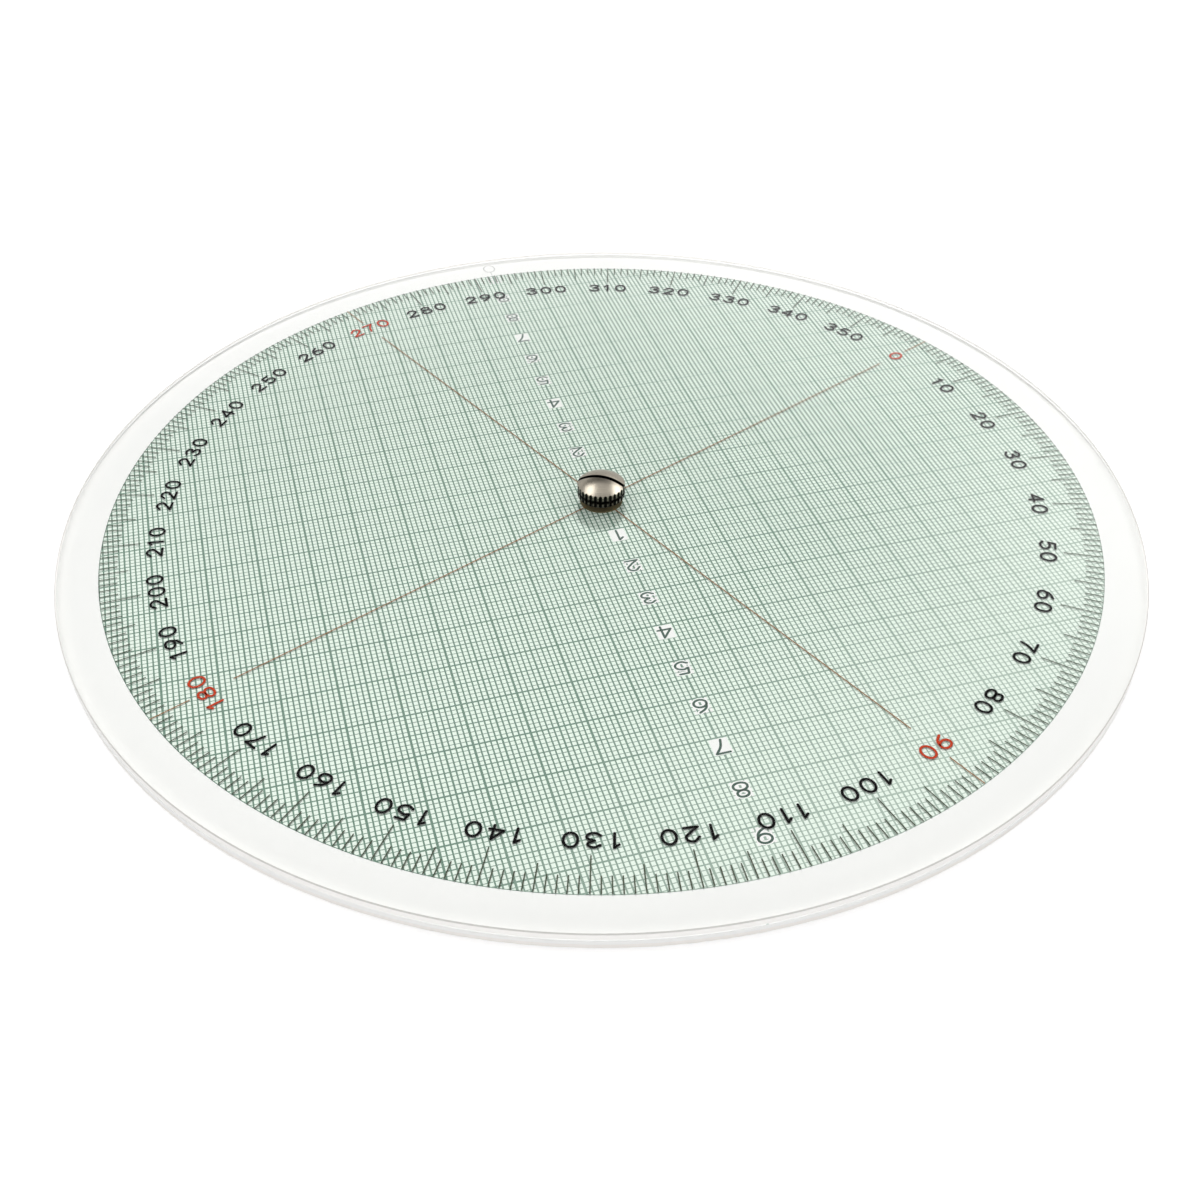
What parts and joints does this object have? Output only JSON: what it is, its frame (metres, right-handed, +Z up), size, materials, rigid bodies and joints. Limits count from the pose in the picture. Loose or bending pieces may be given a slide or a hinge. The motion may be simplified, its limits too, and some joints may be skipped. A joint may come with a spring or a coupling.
{
  "type": "nautical slide rule",
  "caption": "Round nautical slide rule: a clear compass disc turns over a white plate with a green millimetre grid, a scale disc turns in the ring below, and a knurled thumb screw holds them.",
  "frame": {"origin": "centre of the flat rest face under the scale ring, on the pivot's axis", "axes": "+Z up along the pivot, +Y the way in which the grid's numbers read upright"},
  "size_m": [0.216, 0.216, 0.0085],
  "materials": {
    "nickel": "turned and nickelled, fine rings",
    "spring_steel": "plain rolled",
    "black_fibre": "matt",
    "brown_fibre": "matt, oiled",
    "clear_acrylic": "clear, polished faces",
    "white_film": "satin",
    "white_plate": "satin white",
    "white_ring": "satin warm white",
    "white_slide": "satin white",
    "green_ink": "printed",
    "black_ink": "printed",
    "red_ink": "printed"
  },
  "bodies": {
    "base": {"grid_plate": "white_plate", "scale_ring": "white_ring", "barrel_nut": "nickel", "slip_washer": "brown_fibre", "slide_washer": "white_film", "lower_washer": "white_film"},
    "compass": {"compass_disc": "clear_acrylic"},
    "slide": {"slide_disc": "white_slide"},
    "drag_washers": {"spring_washer": "spring_steel", "top_washer": "black_fibre"},
    "screw": {"thumb_screw": "nickel"}
  },
  "joints": [
    {"name": "compass_turn", "type": "hinge", "parent": "base", "child": "compass", "pos_m": [0, 0, 0.00275], "axis": [0, 0, 1], "continuous": true},
    {"name": "slide_turn", "type": "hinge", "parent": "base", "child": "slide", "pos_m": [0, 0, 0.0005], "axis": [0, 0, 1], "continuous": true},
    {"name": "screw_turn", "type": "hinge", "parent": "base", "child": "drag_washers", "pos_m": [0, 0, 0.0038], "axis": [0, 0, 1], "range_deg": [0, 360]},
    {"name": "screw_lift", "type": "slide", "parent": "drag_washers", "child": "screw", "axis": [0, 0, 1], "range_m": [0, 0.0005]}
  ],
  "couplings": [
    {"joint": "screw_turn", "follows": "screw_lift", "rad_per_m": 12566}
  ]
}
